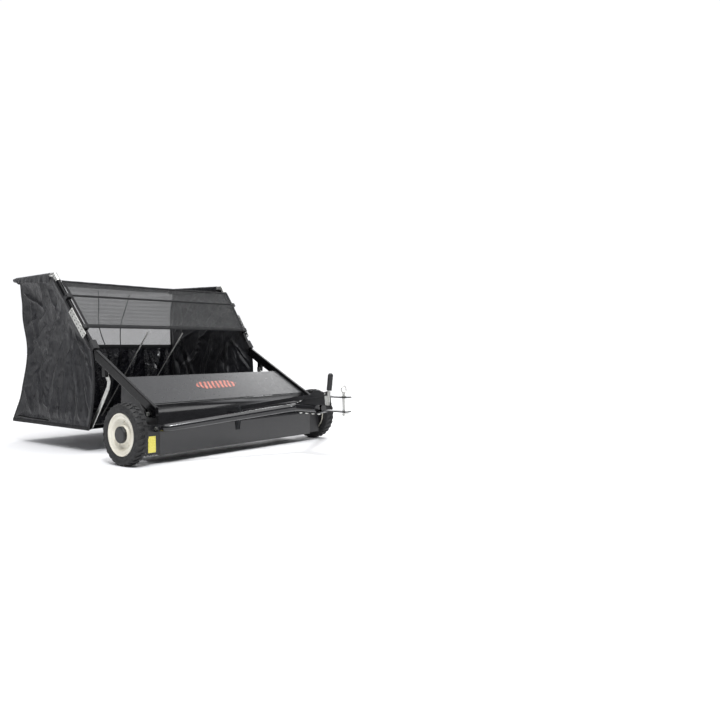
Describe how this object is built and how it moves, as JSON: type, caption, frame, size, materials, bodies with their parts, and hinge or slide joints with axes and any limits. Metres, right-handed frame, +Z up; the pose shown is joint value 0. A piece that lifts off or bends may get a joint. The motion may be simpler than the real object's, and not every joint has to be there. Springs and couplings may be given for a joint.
{
  "type": "lawn sweeper",
  "caption": "Tow-behind lawn sweeper: two wheels gear a rotary brush under a steel housing that throws leaves into a fabric hopper on a tube frame, with a V tongue and a height lever.",
  "frame": {"origin": "on the floor, under the middle of the machine's bounding box", "axes": "+X to the left wheel, +Y back towards the hopper, -Y towards the hitch, +Z up"},
  "size_m": [1.435, 2.1382, 0.988],
  "materials": {
    "housing_paint": "dark grey gloss paint on sheet steel",
    "cover_paint": "dark grey satin paint",
    "decal_red": "printed vinyl",
    "plate_paint": "black semi-gloss paint",
    "reflector_yellow": "plain yellow reflective film",
    "bright_steel": "drawn steel bar",
    "cast_iron": "sintered iron",
    "tyre": "moulded rubber with a block tread",
    "rim_paint": "cream gloss paint",
    "black_plastic": "moulded nylon",
    "nylon": "natural nylon",
    "brush_steel": "black paint on pressed steel",
    "bristle": "polypropylene bristle",
    "frame_paint": "black gloss powder coat",
    "zinc": "bright zinc plate",
    "screen_mesh": "open vinyl-coated mesh",
    "window_mesh": "open vinyl-coated mesh",
    "bag_cloth": "coated woven polyester",
    "grip_rubber": "dipped vinyl grip"
  },
  "bodies": {
    "housing": {"housing_shell": "housing_paint", "top_cover": "cover_paint", "cover_decal": "decal_red", "left_end_plate": "plate_paint", "right_end_plate": "plate_paint", "side_reflector": "reflector_yellow", "left_axle": "bright_steel", "right_axle": "bright_steel", "left_dust_cover": "plate_paint", "right_dust_cover": "plate_paint", "left_bearing": "cast_iron", "right_bearing": "cast_iron", "tongue_brackets": "plate_paint", "tongue_bolts": "zinc"},
    "left_wheel": {"left_tyre": "tyre", "left_rim": "rim_paint", "left_ring_gear": "black_plastic", "left_hub_cap": "black_plastic", "left_bushing": "nylon"},
    "right_wheel": {"right_tyre": "tyre", "right_rim": "rim_paint", "right_ring_gear": "black_plastic", "right_hub_cap": "black_plastic", "right_bushing": "nylon"},
    "left_drive": {"left_pinion": "cast_iron"},
    "right_drive": {"right_pinion": "cast_iron"},
    "brush": {"brush_shaft": "bright_steel", "ratchet_pins": "bright_steel", "brush_hubs": "brush_steel", "brush_channels": "brush_steel", "bristles": "bristle"},
    "hopper": {"left_arm": "frame_paint", "right_arm": "frame_paint", "left_side_tube": "frame_paint", "right_side_tube": "frame_paint", "left_joint_plate": "zinc", "right_joint_plate": "zinc", "tube_clamps": "frame_paint", "top_elbows": "zinc", "left_top_tube": "frame_paint", "right_top_tube": "frame_paint", "rear_top_tube": "frame_paint", "bottom_frame": "frame_paint", "support_straps": "zinc", "support_rods": "zinc", "windscreen_rods": "frame_paint", "windscreen": "screen_mesh", "rear_mesh": "window_mesh", "bag": "bag_cloth"},
    "tongue": {"left_tongue_tube": "frame_paint", "right_tongue_tube": "frame_paint", "hitch_upper_strap": "frame_paint", "hitch_lower_strap": "frame_paint", "hitch_bolts": "zinc", "quadrant": "frame_paint"},
    "lever": {"height_lever": "zinc", "lever_grip": "grip_rubber"},
    "adjuster": {"adjuster_strap": "frame_paint"},
    "pin": {"hitch_pin": "zinc"},
    "clip": {"hair_pin": "zinc"}
  },
  "joints": [
    {"name": "left_wheel_spin", "type": "hinge", "parent": "housing", "child": "left_wheel", "pos_m": [0.68, -0.236, 0.1525], "axis": [1, 0, 0], "continuous": true},
    {"name": "right_wheel_spin", "type": "hinge", "parent": "housing", "child": "right_wheel", "pos_m": [-0.68, -0.236, 0.1525], "axis": [1, 0, 0], "continuous": true},
    {"name": "left_pinion_spin", "type": "hinge", "parent": "housing", "child": "left_drive", "pos_m": [0.68, -0.167, 0.1525], "axis": [1, 0, 0], "continuous": true},
    {"name": "right_pinion_spin", "type": "hinge", "parent": "housing", "child": "right_drive", "pos_m": [-0.68, -0.167, 0.1525], "axis": [1, 0, 0], "continuous": true},
    {"name": "brush_spin", "type": "hinge", "parent": "housing", "child": "brush", "pos_m": [0, -0.167, 0.1525], "axis": [1, 0, 0], "continuous": true},
    {"name": "hopper_dump", "type": "hinge", "parent": "housing", "child": "hopper", "pos_m": [0, -0.271, 0.245], "axis": [1, 0, 0], "range_deg": [0, 70]},
    {"name": "tongue_height", "type": "hinge", "parent": "housing", "child": "tongue", "pos_m": [0, -0.354, 0.18], "axis": [1, 0, 0], "range_deg": [-5, 5]},
    {"name": "lever_swing", "type": "hinge", "parent": "tongue", "child": "lever", "pos_m": [-0.0325, -0.964, 0.3], "axis": [1, 0, 0], "range_deg": [-7, 7]},
    {"name": "strap_swing", "type": "hinge", "parent": "lever", "child": "adjuster", "pos_m": [-0.038, -0.955, 0.345], "axis": [1, 0, 0], "range_deg": [-7, 7]},
    {"name": "hitch_pin_turn", "type": "hinge", "parent": "tongue", "child": "pin", "pos_m": [0, -1.041, 0.3], "axis": [0, 0, 1], "continuous": true},
    {"name": "clip_pull", "type": "slide", "parent": "pin", "child": "clip", "axis": [1, 0, 0], "range_m": [0, 0.06]}
  ],
  "couplings": [
    {"joint": "left_pinion_spin", "follows": "left_wheel_spin", "ratio": 5.6},
    {"joint": "brush_spin", "follows": "left_wheel_spin", "ratio": 5.6},
    {"joint": "right_pinion_spin", "follows": "right_wheel_spin", "ratio": 5.6},
    {"joint": "lever_swing", "follows": "tongue_height", "ratio": -1.3333},
    {"joint": "strap_swing", "follows": "tongue_height", "ratio": 1.343}
  ]
}
